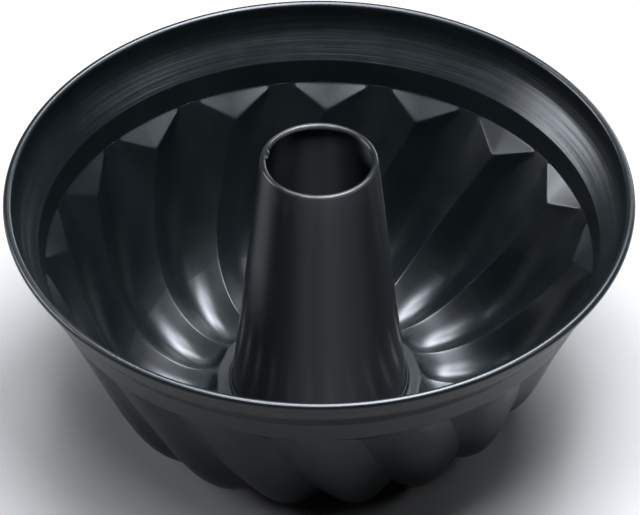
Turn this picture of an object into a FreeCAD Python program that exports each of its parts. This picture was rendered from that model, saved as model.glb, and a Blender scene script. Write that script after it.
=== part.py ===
import FreeCAD, Part
import math
import os

import Sketcher
from FreeCAD import Vector

doc = FreeCAD.newDocument("bundt_pan")

# Millimetres and degrees. +Z is up, the base stands on z = 0 and the pan's axis is the Z axis.
# Heights are of the food side of the sheet. The flutes are straight V folds between two guide
# curves, the ridge and the valley, each given by six control points from the wall to the neck.
DIMENSIONS = {
    "sheet_thickness": 0.6,
    "rim_radius": 110.0,
    "rim_height": 90.0,
    "wire_radius": 0.85,
    "wire_clearance": 0.05,
    "curl_sweep": 300.0,
    "flange_foot_radius": 103.3,
    "flange_turn": 40.0,
    "collar_radius": 97.9,
    "collar_height": 73.1,
    "shoulder_radius": 95.9,
    "shoulder_height": 64.8,
    "flute_count": 17,
    "flute_phase": 3.1,
    "shoulder_gap": 3.94,
    "shoulder_swirl": -0.9,
    "ridge_round": 0.06,
    "valley_round": 0.56,
    "ridge_radius_a": 88.5,
    "ridge_radius_b": 85.2,
    "ridge_radius_c": 77.2,
    "ridge_radius_d": 65.0,
    "ridge_radius_e": 46.0,
    "ridge_height_a": 57.4,
    "ridge_height_b": 46.0,
    "ridge_height_c": 28.5,
    "ridge_height_d": 10.5,
    "ridge_height_e": 3.0,
    "valley_radius_b": 89.4,
    "valley_radius_c": 82.0,
    "valley_radius_d": 68.2,
    "valley_radius_e": 38.0,
    "valley_height_b": 48.5,
    "valley_height_c": 25.3,
    "valley_height_d": -0.2,
    "valley_height_e": -4.8,
    "swirl_b": 3.4,
    "swirl_c": 9.2,
    "swirl_d": 15.0,
    "swirl_e": 18.5,
    "swirl_f": 19.5,
    "seat_radius": 36.0,
    "seat_height": 7.7,
    "seat_tuck": 0.3,
    "neck_height": 9.6,
    "neck_bend": 1.0,
    "neck_clearance": 0.1,
    "tube_height": 108.6,
    "tube_top_radius": 20.7,
    "tube_curl_radius": 1.15,
    "tube_curl_sweep": 270.0,
    "tube_foot_radius": 31.0,
    "tube_flange_radius": 35.6,
    "tube_lip": 2.0,
    "lap_margin": 3.45,
    "lap_angle": 12.0,
    "lap_azimuth": 168.0,
}

sheet = doc.addObject("Spreadsheet::Sheet", "dimensions")
for row, (alias, value) in enumerate(DIMENSIONS.items(), start=1):
    sheet.set(f"A{row}", alias)
    sheet.set(f"B{row}", str(value))
    sheet.setAlias(f"B{row}", alias)
doc.recompute()


def size(alias):
    return float(sheet.get(alias))


def at_azimuth(point, degrees):
    """The 3-D point of a (radius, height) pair at an azimuth about the pan's axis."""
    radius, height = point
    angle = math.radians(degrees)
    return Vector(radius * math.cos(angle), radius * math.sin(angle), height)


def outward(first, second):
    """The unit normal of a stretch of meridian, on the side away from the food."""
    run, rise = second[0] - first[0], second[1] - first[1]
    length = math.hypot(run, rise)
    return -rise / length, run / length


def thicken(before, here, after, distance):
    """A corner of a meridian that runs down and in, moved out by distance along its mitre."""
    first, second = outward(before, here), outward(here, after)
    mitre = 1 + first[0] * second[0] + first[1] * second[1]
    return tuple(here[i] + distance * (first[i] + second[i]) / mitre for i in range(2))


def fold_thickness(ridge_point, valley_point):
    """How far a fold's corners move so that its sloping flanks keep the sheet's thickness."""
    half_width = math.pi * valley_point[0] / size("flute_count")
    depth = math.dist(ridge_point, valley_point)
    return size("sheet_thickness") * math.hypot(half_width, depth) / half_width


def patch(rows):
    """A face through rows of three control points with their weights, any number of rows."""
    down = min(len(rows) - 1, 3)
    knots = list(range(len(rows) - down + 1))
    inner = [1] * (len(knots) - 2)
    surface = Part.BSplineSurface()
    surface.buildFromPolesMultsKnots(
        [points for points, weights in rows],
        [down + 1] + inner + [down + 1], [3, 3], knots, [0, 1],
        False, False, down, 2,
        [weights for points, weights in rows],
    )
    return surface.toShape()


def straight(points):
    return points, [1, 1, 1]


def arc_row(point, middle, half_angle):
    """Three control points and weights that draw an exact arc of the circle through point."""
    cosine = math.cos(math.radians(half_angle))
    radius, height = point
    row = [
        at_azimuth(point, middle - half_angle),
        at_azimuth((radius / cosine, height), middle),
        at_azimuth(point, middle + half_angle),
    ]
    return row, [1, cosine, 1]


def flute_row(tip, before, after, trough):
    """One flute's crest and flanks across its tip, with the trough that follows them."""
    crest_before = tip + (before - tip) * size("ridge_round")
    crest_after = tip + (after - tip) * size("ridge_round")
    return {
        "flank_before": straight([before, (before + crest_before) / 2, crest_before]),
        "crest": straight([crest_before, tip, crest_after]),
        "flank_after": straight([crest_after, (crest_after + after) / 2, after]),
        "trough": trough,
    }


def shoulder_row(ridge_point, shoulder, azimuth, pitch):
    """The row at a facet's lower corner, whose flanks start at the facet's upper corners."""
    gap = size("shoulder_gap") / 2
    facet = azimuth + size("shoulder_swirl")
    return flute_row(
        at_azimuth(ridge_point, azimuth),
        at_azimuth(shoulder, facet - pitch / 2 + gap),
        at_azimuth(shoulder, facet + pitch / 2 - gap),
        arc_row(shoulder, facet + pitch / 2, gap),
    )


def fold_row(ridge_point, valley_point, middle, pitch):
    """A row on the V folds: the trough is rounded over a share of the flanks beside it."""
    share = size("valley_round")
    tip = at_azimuth(ridge_point, middle)
    next_tip = at_azimuth(ridge_point, middle + pitch)
    before = at_azimuth(valley_point, middle - pitch / 2)
    after = at_azimuth(valley_point, middle + pitch / 2)
    trough = [after + (tip - after) * share, after, after + (next_tip - after) * share]
    return flute_row(tip, before + (tip - before) * share, trough[0], straight(trough))


def seat_row(seat, middle, pitch):
    """The last row, on the seat circle, where the folds have died out."""
    crest = size("ridge_round") * pitch / 2
    trough = size("valley_round") * pitch / 2
    flank = (pitch / 2 - trough - crest) / 2
    return {
        "flank_before": arc_row(seat, middle - crest - flank, flank),
        "crest": arc_row(seat, middle, crest),
        "flank_after": arc_row(seat, middle + crest + flank, flank),
        "trough": arc_row(seat, middle + pitch / 2, trough),
    }


def fluted_skin(ridge, valley):
    """The faces of one side of the fluted sheet, from the shoulder circle to the seat circle."""
    count = int(size("flute_count"))
    pitch = 360 / count
    swirl = [size(f"swirl_{row}") for row in "bcde"]
    faces = []
    for flute in range(count):
        azimuth = size("flute_phase") + flute * pitch
        rows = [shoulder_row(ridge[0], valley[0], azimuth, pitch)]
        for ridge_point, valley_point, turn in zip(ridge[1:], valley[1:], swirl):
            rows.append(fold_row(ridge_point, valley_point, azimuth + turn, pitch))
        rows.append(seat_row(ridge[-1], azimuth + size("swirl_f"), pitch))
        for strip in rows[0]:
            faces.append(patch([row[strip] for row in rows]))
        facet_half = (pitch - size("shoulder_gap")) / 2
        facet_top = arc_row(valley[0], azimuth + size("shoulder_swirl"), facet_half)
        faces.append(patch([facet_top, rows[0]["crest"]]))
    return faces


def revolved(edges):
    """The surface that a meridian, given as a list of edges in the XZ plane, sweeps."""
    return Part.Wire(edges).revolve(Vector(0, 0, 0), Vector(0, 0, 1), 360).Faces


def meridian_line(first, second):
    return Part.makeLine(at_azimuth(first, 0), at_azimuth(second, 0))


def arc_edge(centre, radius, start, end):
    """A meridian arc about centre, through angles measured up from the outward direction."""
    def on_arc(angle):
        turn = math.radians(angle)
        return at_azimuth(
            (centre[0] + radius * math.cos(turn), centre[1] + radius * math.sin(turn)), 0
        )
    return Part.Arc(on_arc(start), on_arc((start + end) / 2), on_arc(end)).toShape()


def foot_top():
    """The height of the tube's foot flange, on which the bowl's seat lies."""
    return size("seat_height") - size("sheet_thickness")


def tube_slope():
    """How much the tube's radius falls for each millimetre of height."""
    rise = size("tube_height") - size("tube_curl_radius") - foot_top()
    return (size("tube_foot_radius") - size("tube_top_radius")) / rise


def tube_radius(height):
    """The outer radius of the straight cone of the tube at a height."""
    return size("tube_foot_radius") - tube_slope() * (height - foot_top())


def guide(name, rows, first, last):
    """A guide curve's control points, between the ones it shares with its neighbours."""
    points = [(size(f"{name}_radius_{row}"), size(f"{name}_height_{row}")) for row in rows]
    return first + points + last


def neck_edges(seat, seat_out):
    """The meridian of the seat's level ring and of the neck that is bent up round the tube."""
    thickness = size("sheet_thickness")
    lean = math.atan(tube_slope())
    bend = size("neck_bend")

    def beside_tube(height, distance):
        return tube_radius(height) + distance / math.cos(lean), height

    food_side = size("neck_clearance") + thickness
    centre = beside_tube(seat[1] + bend, food_side + bend)
    top = beside_tube(size("neck_height"), food_side)
    top_out = beside_tube(size("neck_height"), size("neck_clearance"))
    upright = 180 + math.degrees(lean)

    def bent(radius):
        return arc_edge(centre, radius, 270, upright)

    def bend_end(radius):
        return centre[0] - radius * math.cos(lean), centre[1] - radius * math.sin(lean)

    return [
        meridian_line(seat, (centre[0], seat[1])),
        bent(bend),
        meridian_line(bend_end(bend), top),
        meridian_line(top, top_out),
        meridian_line(top_out, bend_end(bend + thickness)),
        bent(bend + thickness),
        meridian_line((centre[0], seat_out[1]), seat_out),
    ]


def rim_edges(shoulder, shoulder_out):
    """The rim's meridian: collar wall, sloping ledge, cove and the bead curled over the wire."""
    thickness = size("sheet_thickness")
    collar = (size("collar_radius"), size("collar_height"))
    bead_inner = size("wire_radius") + size("wire_clearance")
    bead_outer = bead_inner + thickness
    bead = (size("rim_radius") - bead_outer, size("rim_height"))
    curl_end = 180 - size("curl_sweep")

    # The cove is an arc that ends upright where it meets the bead and slopes at its foot.
    turn = math.radians(size("flange_turn"))
    cove_top = bead[0] - bead_outer
    cove_radius = (cove_top - size("flange_foot_radius")) / (1 - math.cos(turn))
    cove = (cove_top - cove_radius, bead[1])
    below = -size("flange_turn")

    def foot_of_cove(radius):
        return cove[0] + radius * math.cos(turn), cove[1] - radius * math.sin(turn)

    def curl_point(radius):
        angle = math.radians(curl_end)
        return bead[0] + radius * math.cos(angle), bead[1] + radius * math.sin(angle)

    cove_foot = foot_of_cove(cove_radius)
    collar_out = thicken(cove_foot, collar, shoulder, thickness)
    return [
        meridian_line(shoulder, collar),
        meridian_line(collar, cove_foot),
        arc_edge(cove, cove_radius, below, 0),
        arc_edge(bead, bead_outer, 180, curl_end),
        meridian_line(curl_point(bead_outer), curl_point(bead_inner)),
        arc_edge(bead, bead_inner, curl_end, 180),
        arc_edge(cove, cove_radius + thickness, 0, below),
        meridian_line(foot_of_cove(cove_radius + thickness), collar_out),
        meridian_line(collar_out, shoulder_out),
    ]


def bowl_solid():
    """One drawn sheet: curled rim, stepped collar, fluted wall and floor, seat and neck."""
    thickness = size("sheet_thickness")
    shoulder = (size("shoulder_radius"), size("shoulder_height"))
    collar = (size("collar_radius"), size("collar_height"))
    seat = (size("seat_radius"), size("seat_height"))

    ridge = guide("ridge", "abcde", [], [seat])
    valley = guide("valley", "bcde", [shoulder], [seat])
    shoulder_out = thicken(collar, shoulder, ridge[0], thickness)
    seat_out = (seat[0] - size("seat_tuck"), seat[1] - thickness)
    folds = [fold_thickness(*pair) for pair in zip(ridge, valley)]
    ridge_out = [
        thicken(*corner, fold)
        for corner, fold in zip(zip([shoulder] + ridge, ridge, ridge[1:]), folds)
    ] + [seat_out]
    valley_out = [shoulder_out] + [
        thicken(*corner, fold)
        for corner, fold in zip(zip(valley, valley[1:], valley[2:]), folds[1:])
    ] + [seat_out]

    faces = fluted_skin(ridge, valley) + fluted_skin(ridge_out, valley_out)
    faces += revolved(rim_edges(shoulder, shoulder_out)) + revolved(neck_edges(seat, seat_out))
    shell = Part.makeCompound(faces)
    shell.sewShape()

    # The lowest point of each flute is pressed flat, so the pan stands on small level lands.
    reach = 2 * size("rim_radius")
    bench = Part.makeBox(reach, reach, reach, Vector(-reach / 2, -reach / 2, -reach))
    return Part.Solid(shell).cut(bench)


def origin_plane(body, role):
    return next(item for item in body.Origin.OriginFeatures if item.Role == role)


def new_sketch(body, name):
    """A sketch on the body's XZ plane: its x is the radius and its y is the height."""
    sketch = body.newObject("Sketcher::SketchObject", name)
    sketch.AttachmentSupport = [(origin_plane(body, "XZ_Plane"), "")]
    sketch.MapMode = "FlatFace"
    return sketch


def bound(sketch, name, formula, *constraint):
    """Add a dimension to a sketch and drive it by a formula of the sheet's cells."""
    index = sketch.addConstraint(Sketcher.Constraint(*constraint))
    sketch.renameConstraint(index, name)
    sketch.setExpression(f"Constraints.{name}", formula)


def chain(sketch, points):
    """Add joined straight lines through (radius, height) points and return their indices."""
    corners = [Vector(radius, height, 0) for radius, height in points]
    lines = [
        sketch.addGeometry(Part.LineSegment(first, second))
        for first, second in zip(corners, corners[1:])
    ]
    for first, second in zip(lines, lines[1:]):
        sketch.addConstraint(Sketcher.Constraint("Coincident", first, 2, second, 1))
    return lines


def revolve_sketch(body, name, sketch):
    feature = body.newObject("PartDesign::Revolution", name)
    feature.Profile = sketch
    feature.ReferenceAxis = (sketch, ["V_Axis"])
    return feature


FOOT_TOP = "(dimensions.seat_height - dimensions.sheet_thickness)"
TUBE_SLOPE = (
    "((dimensions.tube_foot_radius - dimensions.tube_top_radius)"
    f" / (dimensions.tube_height - dimensions.tube_curl_radius - {FOOT_TOP}))"
)


def tube_profile(body):
    """The tube's wall with its curled top and its foot flange, as one closed outline."""
    thickness = size("sheet_thickness")
    seat_top = foot_top()
    foot, top = size("tube_foot_radius"), size("tube_top_radius")
    flange, lip = size("tube_flange_radius"), size("tube_lip")
    curl = size("tube_curl_radius")
    centre = Vector(top - curl, size("tube_height") - curl, 0)
    start = math.atan(tube_slope())
    end = start + math.radians(size("tube_curl_sweep"))

    def on_curl(radius, angle):
        return centre.x + radius * math.cos(angle), centre.y + radius * math.sin(angle)

    def curl_arc(radius):
        circle = Part.Circle(centre, Vector(0, 0, 1), radius)
        return sketch.addGeometry(Part.ArcOfCircle(circle, start, end))

    sketch = new_sketch(body, "tube_profile")
    outer = curl_arc(curl)
    inner = curl_arc(curl - thickness)
    cap, = chain(sketch, [on_curl(curl, end), on_curl(curl - thickness, end)])
    wall_in, under, lip_in, lip_foot, lip_out, seat, wall_out = chain(sketch, [
        on_curl(curl - thickness, start),
        (foot - thickness, seat_top - thickness),
        (flange - thickness, seat_top - thickness),
        (flange - thickness, seat_top - lip),
        (flange, seat_top - lip),
        (flange, seat_top),
        (foot, seat_top),
        on_curl(curl, start),
    ])
    for constraint in (
        ("Tangent", inner, 1, wall_in, 1),
        ("Tangent", wall_out, 2, outer, 1),
        ("Coincident", outer, 2, cap, 1),
        ("Coincident", inner, 2, cap, 2),
        ("Coincident", inner, 3, outer, 3),
        ("PointOnObject", outer, 3, cap),
        ("Parallel", wall_in, wall_out),
        ("Horizontal", under),
        ("Horizontal", lip_foot),
        ("Horizontal", seat),
        ("Vertical", lip_in),
        ("Vertical", lip_out),
    ):
        sketch.addConstraint(Sketcher.Constraint(*constraint))
    sheet_gap = "dimensions.sheet_thickness"
    bound(sketch, "curl_outer", "dimensions.tube_curl_radius", "Radius", outer, curl)
    bound(sketch, "curl_inner", f"dimensions.tube_curl_radius - {sheet_gap}",
          "Radius", inner, curl - thickness)
    bound(sketch, "curl_radius", "dimensions.tube_top_radius - dimensions.tube_curl_radius",
          "DistanceX", -1, 1, outer, 3, centre.x)
    bound(sketch, "curl_height", "dimensions.tube_height - dimensions.tube_curl_radius",
          "DistanceY", -1, 1, outer, 3, centre.y)
    bound(sketch, "curl_end", "dimensions.tube_curl_sweep - 180",
          "Angle", cap, math.radians(size("tube_curl_sweep") - 180))
    bound(sketch, "foot_radius", "dimensions.tube_foot_radius",
          "DistanceX", -1, 1, wall_out, 1, foot)
    bound(sketch, "foot_height", FOOT_TOP, "DistanceY", -1, 1, wall_out, 1, seat_top)
    bound(sketch, "flange_radius", "dimensions.tube_flange_radius",
          "DistanceX", -1, 1, lip_out, 1, flange)
    bound(sketch, "flange_sheet", sheet_gap, "DistanceY", under, 2, seat, 1, thickness)
    bound(sketch, "lip_sheet", sheet_gap, "DistanceX", lip_foot, 1, lip_foot, 2, thickness)
    bound(sketch, "lip_drop", "dimensions.tube_lip", "DistanceY", lip_out, 1, lip_out, 2, lip)
    return sketch


def lap_profile(body):
    """The inner layer of the tube's lengthwise seam: a slanting strip on the wall's inside."""
    thickness = size("sheet_thickness")
    low = (size("seat_height"), "dimensions.seat_height")
    high = (
        size("tube_height") - size("lap_margin"),
        "dimensions.tube_height - dimensions.lap_margin",
    )
    # The strip reaches half way into the wall, with which it fuses, and is one sheet thick.
    buried, bare = 0.5, 2
    corners = []
    for layers, (height, height_formula) in (
        (buried, low), (buried, high), (bare, high), (bare, low),
    ):
        formula = (
            f"dimensions.tube_foot_radius - ({height_formula} - {FOOT_TOP}) * {TUBE_SLOPE}"
            f" - {layers} * dimensions.sheet_thickness"
        )
        radius = tube_radius(height) - layers * thickness
        corners.append((radius, formula, height, height_formula))
    sketch = new_sketch(body, "lap_profile")
    sketch.AttachmentOffset = FreeCAD.Placement(
        Vector(0, 0, 0), FreeCAD.Rotation(Vector(0, 1, 0), size("lap_azimuth"))
    )
    lines = chain(sketch, [(corner[0], corner[2]) for corner in corners + corners[:1]])
    sketch.addConstraint(Sketcher.Constraint("Coincident", lines[-1], 2, lines[0], 1))
    for line, (radius, formula, height, height_formula) in zip(lines, corners):
        bound(sketch, f"radius_{line}", formula, "DistanceX", -1, 1, line, 1, radius)
        bound(sketch, f"height_{line}", height_formula, "DistanceY", -1, 1, line, 1, height)
    return sketch


def make_bowl_shell():
    bowl = doc.addObject("Part::Feature", "bowl_shell")
    bowl.Shape = bowl_solid()
    bowl.Placement = FreeCAD.Placement()
    return bowl


def make_centre_tube():
    tube = doc.addObject("PartDesign::Body", "centre_tube")
    revolve_sketch(tube, "tube_wall", tube_profile(tube))
    doc.recompute()
    lap = revolve_sketch(tube, "seam_lap", lap_profile(tube))
    lap.setExpression("Angle", "dimensions.lap_angle")
    lap.Midplane = True
    return tube


def make_rim_wire():
    wire = doc.addObject("Part::Torus", "rim_wire")
    curl = "(dimensions.wire_radius + dimensions.wire_clearance + dimensions.sheet_thickness)"
    wire.setExpression("Radius1", f"dimensions.rim_radius - {curl}")
    wire.setExpression("Radius2", "dimensions.wire_radius")
    wire.setExpression(".Placement.Base.z", "dimensions.rim_height")
    return wire


def export(pieces):
    """Check every object of the document, then write one STEP file for each piece."""
    doc.recompute()
    for item in doc.Objects:
        if {"Invalid", "Error"} & set(item.State):
            raise RuntimeError(f"{item.Name} failed: {item.State}")
    for piece in pieces:
        if piece.Shape.isNull() or not piece.Shape.isValid():
            raise RuntimeError(f"{piece.Label} has no valid shape")
    os.makedirs("parts", exist_ok=True)
    for piece in pieces:
        piece.Shape.exportStep(f"parts/{piece.Label}.step")
        print(piece.Label, round(piece.Shape.Volume), "mm3", len(piece.Shape.Solids), "solid")


export([make_bowl_shell(), make_centre_tube(), make_rim_wire()])
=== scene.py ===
"""The looks of a swirled ring-cake pan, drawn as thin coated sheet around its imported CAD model."""
import math

import bpy
import numpy as np
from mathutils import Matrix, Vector


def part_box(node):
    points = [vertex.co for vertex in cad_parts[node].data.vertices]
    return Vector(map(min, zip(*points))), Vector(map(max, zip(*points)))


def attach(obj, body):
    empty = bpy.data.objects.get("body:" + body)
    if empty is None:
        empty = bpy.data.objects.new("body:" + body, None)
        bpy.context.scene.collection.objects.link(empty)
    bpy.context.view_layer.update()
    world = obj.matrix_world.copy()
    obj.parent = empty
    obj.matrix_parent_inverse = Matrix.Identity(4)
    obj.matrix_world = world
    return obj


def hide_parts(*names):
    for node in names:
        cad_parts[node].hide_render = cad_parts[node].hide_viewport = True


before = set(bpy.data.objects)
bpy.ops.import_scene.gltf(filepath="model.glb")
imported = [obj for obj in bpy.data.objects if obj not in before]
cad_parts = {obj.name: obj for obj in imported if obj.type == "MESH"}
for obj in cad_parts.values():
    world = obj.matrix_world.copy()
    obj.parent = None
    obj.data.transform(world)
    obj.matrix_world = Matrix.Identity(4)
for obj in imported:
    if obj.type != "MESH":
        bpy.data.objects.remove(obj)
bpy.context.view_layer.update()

# The shapes are worked out in the pan's own millimetres; MM turns them into metres and is read
# off the CAD rim. +Z is up, the base stands on z = 0 and the pan's axis is the Z axis.
RIM_RADIUS = 110.0
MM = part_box("bowl_shell")[1].x / RIM_RADIUS
SHEET = 0.6

RIM_HEIGHT = 90.0
BEAD_RADIUS = 1.5
CURL_SWEEP = 300.0
FLANGE_FOOT = 103.3
FLANGE_TURN = 40.0
COLLAR = (97.9, 73.1)
SHOULDER = (95.9, 64.8)
COLLAR_BEND = 1.2

FLUTES = 17
PITCH = 360 / FLUTES
FIRST_FLUTE = 3.1
SHOULDER_GAP = 3.94
SHOULDER_SWIRL = -0.9
RIDGE_ROUND = 0.06
VALLEY_ROUND = 0.56
SEAT = (36.0, 7.7)

# Control points (radius, height) down a fold, and its swirl in degrees at each. The trough's last
# two heights are 0.2 mm under the CAD's, whose sheet is thicker there than this even one.
RIDGE = [(88.5, 57.4), (85.2, 46.0), (77.2, 28.5), (65.0, 10.5), (46.0, 3.0), SEAT]
VALLEY = [SHOULDER, (89.4, 48.5), (82.0, 25.3), (68.2, -0.4), (38.0, -5.0), SEAT]
SWIRL = [0, 3.4, 9.2, 15.0, 18.5, 19.5]

NECK_HEIGHT = 9.6
NECK_BEND = 1.0
NECK_CLEARANCE = 0.1
TUBE_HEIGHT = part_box("centre_tube")[1].z / MM
TUBE_TOP = 20.7
TUBE_CURL = 1.15
TUBE_CURL_SWEEP = 270.0
TUBE_FOOT = (31.0, SEAT[1] - SHEET)
TUBE_FLANGE = 35.6
TUBE_LIP = 2.0
LAP_ANGLE = 12.0
LAP_AZIMUTH = 168.0
TUBE_SLOPE = (TUBE_FOOT[0] - TUBE_TOP) / (TUBE_HEIGHT - TUBE_CURL - TUBE_FOOT[1])
TUBE_LEAN = math.atan(TUBE_SLOPE)
TUBE_ROOT_ROUND = 0.4
TUBE_FLANGE_ROUND = 0.6

# How finely one flute is divided across its crest, each flank and its trough. Down the fold, where
# the spline runs from 0 at the shoulder to 1 at the seat, rows start CREASE_STEP from either end.
ACROSS_CREST = 4
ACROSS_FLANK = 6
ACROSS_TROUGH = 8
CREASE_STEP = 0.005

# How finely the tube is divided round its axis, in degrees.
TUBE_STEP = 3.0

COATING_INDEX = 1.35
COATING_TINT = (0.91, 0.95, 1, 1)
COATING_DARK = (0.0005, 0.0012, 0.0014)
COATING_LIGHT = (0.001, 0.0018, 0.0021)

# Each softbox faces LIGHT_AIM from LIGHT_DISTANCE away, both in metres. Its row holds azimuth and
# elevation in degrees, width and height in metres, and radiance. The directions began from a trial
# fit of single lights to the photo; every value was then set by hand over several renders.
LIGHT_AIM = Vector((0, 0, 0.05))
LIGHT_DISTANCE = 1.5
LIGHT_TINT = (0.93, 0.95, 1.0)
LIGHTS = {
    "key_light": (60, 63, 0.5, 0.7, 48),
    "back_left_light": (125, 66, 0.45, 0.4, 26),
    "right_high_light": (2, 70, 0.45, 0.4, 38),
    "top_light": (80, 80, 0.9, 0.6, 34),
    "front_light": (300, 74, 0.5, 0.4, 62),
    "front_left_light": (234, 70, 0.35, 0.35, 58),
    "left_light": (166, 22, 0.8, 0.4, 26),
    "left_high_light": (205, 50, 0.4, 0.4, 5),
    "back_light": (60, 10, 0.6, 0.4, 11),
    "right_light": (345, 42, 0.6, 0.4, 6),
}

CAMERA_AIM = (0.2, -13.4, 75.5)
CAMERA_AZIMUTH = -90.5
CAMERA_ELEVATION = 40.53
CAMERA_DISTANCE = 3060
CAMERA_LENS = 495


# ------------------------------------------------------------------ curves and surfaces

def at_azimuth(points, degrees):
    """Points (radius, height) turned to an azimuth; either may be one or a row of them."""
    points = np.asarray(points, float)
    angle = np.radians(degrees)
    radius, height = points[..., 0], points[..., 1]
    return np.stack([radius * np.cos(angle), radius * np.sin(angle), height + 0 * angle], -1)


def turned(points, degrees):
    """3-D points turned about the pan's axis."""
    angle = math.radians(degrees)
    across, up = points[..., :2], points[..., 2:]
    turn = np.array([[math.cos(angle), math.sin(angle)], [-math.sin(angle), math.cos(angle)]])
    return np.concatenate([across @ turn, up], -1)


def azimuth_of(points):
    """The azimuth of 3-D points, in degrees."""
    return np.degrees(np.arctan2(points[..., 1], points[..., 0]))


def spline_weights(count, places, degree=3):
    """Weights of count control points of a B-spline with held ends, at places from 0 to 1."""
    spans = count - degree
    knots = np.concatenate([np.zeros(degree), np.arange(spans + 1), np.full(degree, spans)])
    here = np.minimum(np.asarray(places) * spans, spans - 1e-9)[:, None]
    weights = ((knots[:-1] <= here) & (here < knots[1:])).astype(float)
    for order in range(1, degree + 1):
        rise = (here - knots[:-order - 1]) / np.maximum(knots[order:-1] - knots[:-order - 1], 1e-9)
        fall = (knots[order + 1:] - here) / np.maximum(knots[order + 1:] - knots[1:-order], 1e-9)
        weights = rise * weights[:, :-1] + fall * weights[:, 1:]
    return weights


def parabola(first, middle, last, steps):
    """Rows of points across a rounded fold, its first point left out."""
    place = np.arange(1, steps + 1)[:, None, None] / steps
    return (1 - place) ** 2 * first + 2 * place * (1 - place) * middle + place ** 2 * last


def straight(first, last, steps):
    """Rows of points from first to last, first left out."""
    place = np.arange(1, steps + 1).reshape(-1, *[1] * np.ndim(first)) / steps
    return first + (last - first) * place


def crowded(steps, first_step, reach=1.0):
    """Places from 0 to reach whose steps start at first_step and grow by an even factor."""
    low, high = 1.0, 4.0
    for _ in range(60):
        factor = (low + high) / 2
        total = first_step * sum(factor ** n for n in range(steps))
        low, high = (factor, high) if total < reach else (low, factor)
    sizes = first_step * low ** np.arange(steps)
    return np.concatenate([[0], np.cumsum(sizes)]) * reach / sizes.sum()


def arc(centre, radius, start, end, steps):
    """Meridian points (radius, height) on an arc, angles in degrees up from outward."""
    angle = np.radians(np.linspace(start, end, steps + 1))
    return np.stack([centre[0] + radius * np.cos(angle), centre[1] + radius * np.sin(angle)], -1)


def rounded_corner(before, corner, after, radius, steps):
    """An arc in place of a meridian's corner, tangent to both its sides."""
    before, corner, after = (np.asarray(p, float) for p in (before, corner, after))
    back = (before - corner) / np.linalg.norm(before - corner)
    ahead = (after - corner) / np.linalg.norm(after - corner)
    half = math.acos(np.clip(back @ ahead, -1, 1)) / 2
    centre = corner + (back + ahead) / np.linalg.norm(back + ahead) * radius / math.sin(half)
    first = corner + back * radius / math.tan(half) - centre
    last = corner + ahead * radius / math.tan(half) - centre
    share = np.linspace(0, 1, steps + 1)[:, None]
    chord = first * (1 - share) + last * share
    return centre + chord / np.linalg.norm(chord, axis=1, keepdims=True) * radius


def tube_radius(height):
    """The outer radius of the tube's straight cone at a height."""
    return TUBE_FOOT[0] - TUBE_SLOPE * (height - TUBE_FOOT[1])


# ------------------------------------------------------------------ the bowl's sheet

def flute_controls():
    """The control curves of one flute, each a column of points from the shoulder to the seat."""
    middle = FIRST_FLUTE + np.array(SWIRL)
    tip = at_azimuth(RIDGE, middle)
    before = at_azimuth(VALLEY, middle - PITCH / 2)
    bottom = at_azimuth(VALLEY, middle + PITCH / 2)
    start = before + (tip - before) * VALLEY_ROUND
    after = bottom + (tip - bottom) * VALLEY_ROUND
    facet = FIRST_FLUTE + SHOULDER_SWIRL
    reach = (PITCH - SHOULDER_GAP) / 2
    start[0] = at_azimuth(SHOULDER, facet - reach)
    after[0] = at_azimuth(SHOULDER, facet + reach)
    bottom[0] = at_azimuth(SHOULDER, facet + PITCH / 2)
    spread = (1 - VALLEY_ROUND) * PITCH / 2
    start[-1] = at_azimuth(SEAT, middle[-1] - spread)
    after[-1] = at_azimuth(SEAT, middle[-1] + spread)
    crest_before = tip + (start - tip) * RIDGE_ROUND
    crest_after = tip + (after - tip) * RIDGE_ROUND
    return crest_before, tip, crest_after, after, bottom, turned(start, PITCH)


def flute_rows(places):
    """Points of all the flutes: a row for each place down the fold, a column for each azimuth."""
    weights = spline_weights(len(RIDGE), places)
    crest_before, tip, crest_after, after, bottom, next_start = (
        weights @ column for column in flute_controls()
    )
    strips = [
        crest_before[None],
        parabola(crest_before, tip, crest_after, ACROSS_CREST),
        straight(crest_after, after, ACROSS_FLANK),
        parabola(after, bottom, next_start, ACROSS_TROUGH),
        straight(next_start, turned(crest_before, PITCH), ACROSS_FLANK)[:-1],
    ]
    columns = np.concatenate(strips)
    flutes = [turned(columns, flute * PITCH) for flute in range(FLUTES)]
    return np.concatenate(flutes).transpose(1, 0, 2)


def ring_rows(meridian, azimuths):
    """Points of a surface of revolution at the given azimuths, one row for each meridian point."""
    return np.stack([at_azimuth(point, azimuths) for point in meridian])


def rim_meridian():
    """From the hidden end of the curl over the bead and down to just above the shoulder."""
    bead = (RIM_RADIUS - BEAD_RADIUS, RIM_HEIGHT)
    cove_top = bead[0] - BEAD_RADIUS
    turn = math.radians(FLANGE_TURN)
    cove_radius = (cove_top - FLANGE_FOOT) / (1 - math.cos(turn))
    curl = arc(bead, BEAD_RADIUS, 180 - CURL_SWEEP, 180, steps=26)
    cove = arc((cove_top - cove_radius, RIM_HEIGHT), cove_radius, 0, -FLANGE_TURN, steps=9)
    bend = rounded_corner(cove[-1], COLLAR, SHOULDER, COLLAR_BEND, steps=5)
    ledge = [cove[-1] + (bend[0] - cove[-1]) * share for share in (0.35, 0.75)]
    fall = np.array(SHOULDER) - bend[-1]
    wall = [bend[-1] + fall * share for share in (0.4, 0.8, 0.92, 0.965)]
    return np.concatenate([curl, cove[1:], ledge, bend, wall])


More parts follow.
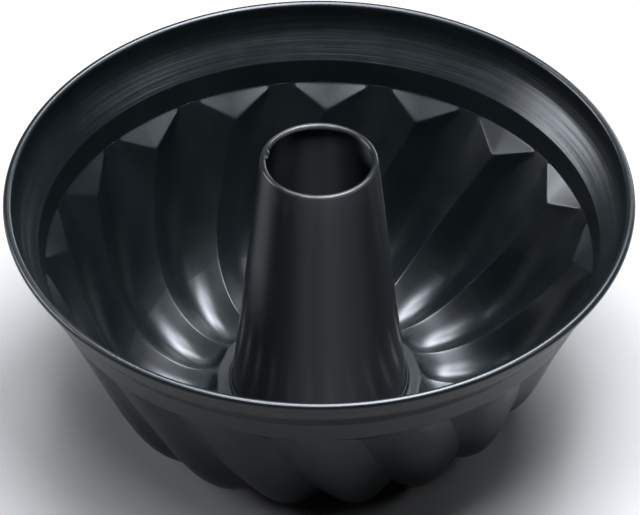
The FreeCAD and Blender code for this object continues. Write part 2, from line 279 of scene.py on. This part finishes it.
def neck_meridian():
    """From the seat ring's inner part, round the bend and up to the neck's cut edge."""
    gap = (NECK_CLEARANCE + SHEET) / math.cos(TUBE_LEAN)
    height = SEAT[1] + NECK_BEND
    centre = (tube_radius(height) + gap + NECK_BEND / math.cos(TUBE_LEAN), height)
    bend = arc(centre, NECK_BEND, 270, 180 + math.degrees(TUBE_LEAN), steps=7)
    level = bend[0] - np.array(SEAT)
    flat = [np.array(SEAT) + level * share for share in (0.12, 0.3, 0.65)]
    top = [(tube_radius(NECK_HEIGHT) + gap, NECK_HEIGHT)]
    return np.concatenate([flat, bend, top])


def bowl_grid():
    """All of the food side's points, and which rows lie beside a crease to be softened."""
    split = 0.58
    from_shoulder = crowded(30, CREASE_STEP)
    to_seat = 1 - crowded(22, CREASE_STEP, 1 - split)[::-1]
    folds = flute_rows(np.concatenate([from_shoulder[from_shoulder < split], to_seat]))
    edge = folds[0]
    azimuths = azimuth_of(edge)
    top_edge = at_azimuth(SHOULDER, azimuths)
    shares = (0, 0.03, 0.09, 0.3, 0.65, 0.91, 0.97)
    facets = [top_edge + (edge - top_edge) * share for share in shares]
    rim = ring_rows(rim_meridian(), azimuths)
    neck = ring_rows(neck_meridian(), azimuth_of(folds[-1]))
    rows = np.concatenate([rim, np.stack(facets), folds, neck])

    # The soft rows are the facets' own with a few on each side, and a few about the seat circle.
    soft = np.zeros(len(rows))
    shoulder_row = len(rim)
    soft[shoulder_row - 2:shoulder_row + len(facets) + 4] = 1
    seat_row = len(rows) - len(neck)
    soft[seat_row - 4:seat_row + 3] = 1
    return rows, soft


def merged(rows, soft):
    """The grid as points and faces, with points that coincide joined into one."""
    count, around = rows.shape[:2]
    flat = rows.reshape(-1, 3)
    _, first, index = np.unique(
        np.round(flat, 4), axis=0, return_index=True, return_inverse=True
    )
    index = index.reshape(count, around)
    left = np.roll(index, -1, axis=1)
    quads = np.stack([index[:-1], left[:-1], left[1:], index[1:]], -1).reshape(-1, 4)
    faces = []
    for quad in quads.tolist():
        face = [corner for place, corner in enumerate(quad) if corner != quad[place - 1]]
        if len(face) > 2:
            faces.append(face)
    return flat[first], np.repeat(soft, around)[first], faces, index[0], index[-1]


def softened(points, soft, faces, rounds, pull=0.5):
    """Creases rounded: each soft point is pulled towards the middle of its neighbours."""
    pairs = {tuple(sorted((face[n - 1], face[n]))) for face in faces for n in range(len(face))}
    first, second = np.array(sorted(pairs)).T
    count = np.bincount(np.concatenate([first, second]), minlength=len(points))[:, None]
    for _ in range(rounds):
        total = np.zeros_like(points)
        np.add.at(total, first, points[second])
        np.add.at(total, second, points[first])
        points = points + pull * soft[:, None] * (total / count - points)
    return points


def new_piece(name, points, faces, material):
    """A smooth-shaded mesh object of the root body, from points in the pan's millimetres."""
    mesh = bpy.data.meshes.new(name)
    mesh.from_pydata((np.asarray(points) * MM).tolist(), [], faces)
    mesh.validate()
    mesh.shade_smooth()
    mesh.materials.append(material)
    piece = bpy.data.objects.new(name, mesh)
    bpy.context.scene.collection.objects.link(piece)
    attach(piece, "root")
    return piece


def normals_of(points, faces):
    """The smooth normal at each point of a mesh."""
    mesh = bpy.data.meshes.new("normals")
    mesh.from_pydata(points.tolist(), [], faces)
    normals = np.zeros(len(points) * 3, np.float32)
    mesh.vertex_normals.foreach_get("vector", normals)
    bpy.data.meshes.remove(mesh)
    return normals.reshape(-1, 3).astype(float)


def make_bowl(material):
    """The drawn sheet: rim bead, cove, collar, facets, flutes, seat and neck, with thickness."""
    points, soft, faces, top_ring, neck_ring = merged(*bowl_grid())
    points = softened(points, soft, faces, rounds=3)

    # The underside of the lowest points is held on the bench, z = 0.
    under = points - SHEET * normals_of(points, faces)
    under[:, 2] = np.maximum(under[:, 2], 0)
    count = len(points)
    faces = faces + [[corner + count for corner in reversed(face)] for face in faces]
    for ring, way in ((top_ring, -1), (neck_ring, 1)):
        for here, there in zip(ring.tolist(), np.roll(ring, -1).tolist()):
            faces.append([here, there, there + count, here + count][::way])
    bowl = new_piece("bowl", np.concatenate([points, under]), faces, material)
    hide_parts("bowl_shell")


# ------------------------------------------------------------------ the centre tube

def tube_profile():
    """The tube wall's closed outline, and how far each point moves in where the seam laps."""
    foot, seat = TUBE_FOOT
    lean = math.degrees(TUBE_LEAN)
    centre = (TUBE_TOP - TUBE_CURL, TUBE_HEIGHT - TUBE_CURL)
    outer_curl = arc(centre, TUBE_CURL, lean, lean + TUBE_CURL_SWEEP, steps=18)
    inner_curl = arc(centre, TUBE_CURL - SHEET, lean + TUBE_CURL_SWEEP, lean, steps=10)
    lip = seat - TUBE_LIP
    flange_top = rounded_corner(
        (TUBE_FLANGE, lip), (TUBE_FLANGE, seat), (foot, seat), TUBE_FLANGE_ROUND, steps=4
    )
    root_top = rounded_corner(
        (TUBE_FLANGE, seat), (foot, seat), outer_curl[0], TUBE_ROOT_ROUND, steps=3
    )
    wall = straight(root_top[-1], outer_curl[0], steps=12)[:-1]
    bore_foot = np.array([foot - SHEET, seat - SHEET])
    bore = straight(inner_curl[-1], bore_foot, steps=12)
    flange_foot = np.array([
        [TUBE_FLANGE - SHEET, seat - SHEET],
        [TUBE_FLANGE - SHEET, lip],
        [TUBE_FLANGE, lip],
    ])
    outline = np.concatenate([
        flange_top, root_top, wall, outer_curl, inner_curl, bore, flange_foot,
    ])
    lapped = np.zeros(len(outline))
    bore_start = len(outline) - len(flange_foot) - len(bore)
    lapped[bore_start + 1:bore_start + len(bore) - 1] = 1
    curl_start = len(flange_top) + len(root_top) + len(wall)
    half = curl_start + len(outer_curl) // 2
    lapped[half:curl_start + len(outer_curl)] = 1
    return outline, lapped


def make_tube(material):
    """The conical tube, its curled top edge, foot flange and lengthwise lap seam."""
    outline, lapped = tube_profile()
    low, high = LAP_AZIMUTH - LAP_ANGLE / 2, LAP_AZIMUTH + LAP_ANGLE / 2

    # Each edge of the lap is a step half a degree wide.
    reach = 0.25
    edges = [low - reach, low + reach, high - reach, high + reach]
    azimuths = np.sort(np.concatenate([np.arange(0, 360, TUBE_STEP), edges]))
    inside = ((azimuths > low) & (azimuths < high)).astype(float)
    inward = np.array([-math.cos(TUBE_LEAN), -math.sin(TUBE_LEAN)])
    rows = []
    for azimuth, lap in zip(azimuths, inside):
        rows.append(at_azimuth(outline + lap * SHEET * lapped[:, None] * inward, azimuth))
    points = np.concatenate(rows)
    around, along = len(azimuths), len(outline)
    faces = []
    for turn in range(around):
        for place in range(along):
            following = (place + 1) % along
            here, there = turn * along, (turn + 1) % around * along
            faces.append([here + place, there + place, there + following, here + following])
    tube = new_piece("tube", points, faces, material)
    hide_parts("centre_tube")


# ------------------------------------------------------------------ materials

def new_material(name):
    """A node material and its shader."""
    material = bpy.data.materials.new(name)
    material.use_nodes = True
    return material, material.node_tree.nodes["Principled BSDF"]


def noise(material, scale, detail, place=None):
    """The value of a noise texture, by default over the object's own coordinates in metres."""
    nodes, links = material.node_tree.nodes, material.node_tree.links
    node = nodes.new("ShaderNodeTexNoise")
    node.inputs["Scale"].default_value = scale
    node.inputs["Detail"].default_value = detail
    links.new(place or nodes.new("ShaderNodeTexCoord").outputs["Object"], node.inputs["Vector"])
    return node.outputs["Fac"]


def squashed_place(material, squash):
    """Object coordinates stretched along the pan's axis, so a texture lies in level streaks."""
    nodes, links = material.node_tree.nodes, material.node_tree.links
    mapping = nodes.new("ShaderNodeMapping")
    mapping.inputs["Scale"].default_value = (1, 1, squash)
    links.new(nodes.new("ShaderNodeTexCoord").outputs["Object"], mapping.inputs["Vector"])
    return mapping.outputs["Vector"]


def spread(material, value, low, high):
    """A noise value spread over a range."""
    node = material.node_tree.nodes.new("ShaderNodeMapRange")
    node.inputs["From Min"].default_value = 0.3
    node.inputs["From Max"].default_value = 0.7
    node.inputs["To Min"].default_value = low
    node.inputs["To Max"].default_value = high
    material.node_tree.links.new(value, node.inputs["Value"])
    return node.outputs["Result"]


def toned(material, value, dark, light):
    """A colour between two tones by a noise value."""
    ramp = material.node_tree.nodes.new("ShaderNodeValToRGB")
    ramp.color_ramp.elements[0].position = 0.35
    ramp.color_ramp.elements[0].color = (*dark, 1)
    ramp.color_ramp.elements[1].position = 0.7
    ramp.color_ramp.elements[1].color = (*light, 1)
    material.node_tree.links.new(value, ramp.inputs["Fac"])
    return ramp.outputs["Color"]


def bumped(material, value, strength, height, under=None):
    """A surface normal raised by a noise value; height is in metres."""
    bump = material.node_tree.nodes.new("ShaderNodeBump")
    bump.inputs["Strength"].default_value = strength
    bump.inputs["Distance"].default_value = height
    material.node_tree.links.new(value, bump.inputs["Height"])
    if under:
        material.node_tree.links.new(under, bump.inputs["Normal"])
    return bump.outputs["Normal"]


def above(material, value, height):
    """A value kept above a height in metres and 0 below it."""
    nodes, links = material.node_tree.nodes, material.node_tree.links
    place = nodes.new("ShaderNodeSeparateXYZ")
    links.new(nodes.new("ShaderNodeTexCoord").outputs["Object"], place.inputs["Vector"])
    higher = nodes.new("ShaderNodeMath")
    higher.operation = "GREATER_THAN"
    links.new(place.outputs["Z"], higher.inputs[0])
    higher.inputs[1].default_value = height
    kept = nodes.new("ShaderNodeMath")
    kept.operation = "MULTIPLY"
    links.new(value, kept.inputs[0])
    links.new(higher.outputs["Value"], kept.inputs[1])
    return kept.outputs["Value"]


def coating(name, roughness, squash=1):
    """Sprayed black non-stick coating: satin, faintly uneven, with a fine orange peel."""
    material, shader = new_material(name)
    links = material.node_tree.links
    shader.inputs["IOR"].default_value = COATING_INDEX
    shader.inputs["Specular Tint"].default_value = COATING_TINT
    clouds = noise(material, scale=60, detail=3)
    links.new(toned(material, clouds, COATING_DARK, COATING_LIGHT), shader.inputs["Base Color"])
    uneven = noise(material, scale=140, detail=4, place=squashed_place(material, squash))
    gloss = spread(material, uneven, roughness - 0.02, roughness + 0.02)
    links.new(gloss, shader.inputs["Roughness"])
    grains = noise(material, scale=1500, detail=2)
    peel = bumped(material, grains, strength=0.06, height=0.00004)
    swells = noise(material, scale=45, detail=1)
    wave = bumped(material, swells, strength=0.04, height=0.0002, under=peel)
    links.new(wave, shader.inputs["Normal"])
    return material, shader


def bowl_coating():
    """The coating on the bowl, with faint forming rings round the flange above the collar."""
    material, shader = coating("bowl_coating", roughness=0.33)
    rings = noise(material, scale=12, detail=3, place=squashed_place(material, 40))
    on_flange = above(material, rings, COLLAR[1] * MM)
    wave = shader.inputs["Normal"].links[0].from_socket
    ringed = bumped(material, on_flange, strength=0.7, height=0.0003, under=wave)
    material.node_tree.links.new(ringed, shader.inputs["Normal"])
    return material


def tube_coating():
    """The coating on the rolled tube, whose level grain draws highlights out up the cone."""
    material, shader = coating("tube_coating", roughness=0.6, squash=12)
    grain = material.node_tree.nodes.new("ShaderNodeTangent")
    grain.direction_type = "RADIAL"
    grain.axis = "Z"
    material.node_tree.links.new(grain.outputs["Tangent"], shader.inputs["Tangent"])
    shader.inputs["Specular IOR Level"].default_value = 0.36
    shader.inputs["Anisotropic"].default_value = 1.0
    shader.inputs["Anisotropic Rotation"].default_value = 0.25
    shader.inputs["Coat Weight"].default_value = 0.5
    shader.inputs["Coat Roughness"].default_value = 0.18
    shader.inputs["Coat IOR"].default_value = COATING_INDEX
    return material


def wire_material():
    """Drawn steel wire: grey metal with fine streaks."""
    material, shader = new_material("drawn_wire")
    links = material.node_tree.links
    shader.inputs["Metallic"].default_value = 1.0
    streaks = noise(material, scale=900, detail=3, place=squashed_place(material, 12))
    tone = toned(material, streaks, (0.3, 0.3, 0.31), (0.5, 0.5, 0.51))
    links.new(tone, shader.inputs["Base Color"])
    links.new(spread(material, streaks, 0.3, 0.5), shader.inputs["Roughness"])
    return material


def floor_material():
    """Plain matt grey, which the lights turn pale."""
    material, shader = new_material("pale_floor")
    shader.inputs["Base Color"].default_value = (0.13, 0.13, 0.13, 1)
    shader.inputs["Roughness"].default_value = 0.9
    return material


# ------------------------------------------------------------------ the studio

def towards(azimuth, elevation):
    """The unit vector from the pan to a place seen at an azimuth and elevation in degrees."""
    azimuth, elevation = math.radians(azimuth), math.radians(elevation)
    level = math.cos(elevation)
    return Vector((math.cos(azimuth) * level, math.sin(azimuth) * level, math.sin(elevation)))


def softbox(name, azimuth, elevation, width, height, radiance):
    """A rectangular light that faces the pan from a direction."""
    light = bpy.data.lights.new(name, "AREA")
    light.shape = "RECTANGLE"
    light.size, light.size_y = width, height
    light.energy = radiance * math.pi * light.size * light.size_y
    light.color = LIGHT_TINT
    lamp = bpy.data.objects.new(name, light)
    way = towards(azimuth, elevation)
    lamp.location = LIGHT_AIM + way * LIGHT_DISTANCE
    lamp.rotation_euler = (-way).to_track_quat("-Z", "Y").to_euler()
    bpy.context.scene.collection.objects.link(lamp)


def make_floor():
    """A square floor a tenth of a millimetre below the pan's base."""
    mesh = bpy.data.meshes.new("floor")
    reach, depth = 3.0, -0.0001
    square = ((-reach, -reach), (reach, -reach), (reach, reach), (-reach, reach))
    mesh.from_pydata([(x, y, depth) for x, y in square], [], [(0, 1, 2, 3)])
    mesh.materials.append(floor_material())
    floor = bpy.data.objects.new("floor", mesh)
    bpy.context.scene.collection.objects.link(floor)


def make_surroundings():
    """Nearly black all round, so the lights alone draw the highlights."""
    world = bpy.data.worlds.new("surroundings")
    bpy.context.scene.world = world
    world.use_nodes = True
    background = world.node_tree.nodes["Background"]
    background.inputs["Color"].default_value = (0.8, 0.9, 1.0, 1)
    background.inputs["Strength"].default_value = 0.03


def make_camera():
    """The long-lens view from the front, looking down at about 40 degrees."""
    way = towards(CAMERA_AZIMUTH, CAMERA_ELEVATION)
    data = bpy.data.cameras.new("camera")
    data.lens = CAMERA_LENS
    data.sensor_width = 36
    data.clip_end = 20
    camera = bpy.data.objects.new("camera", data)
    camera.location = Vector(CAMERA_AIM) * MM + way * CAMERA_DISTANCE * MM
    camera.rotation_euler = (-way).to_track_quat("-Z", "Y").to_euler()
    bpy.context.scene.collection.objects.link(camera)
    bpy.context.scene.camera = camera


make_bowl(bowl_coating())
make_tube(tube_coating())
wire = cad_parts["rim_wire"]
wire.data.materials.clear()
wire.data.materials.append(wire_material())

make_floor()
make_surroundings()
for light_name, row in LIGHTS.items():
    softbox(light_name, *row)
make_camera()
bpy.context.scene.view_settings.view_transform = "Standard"
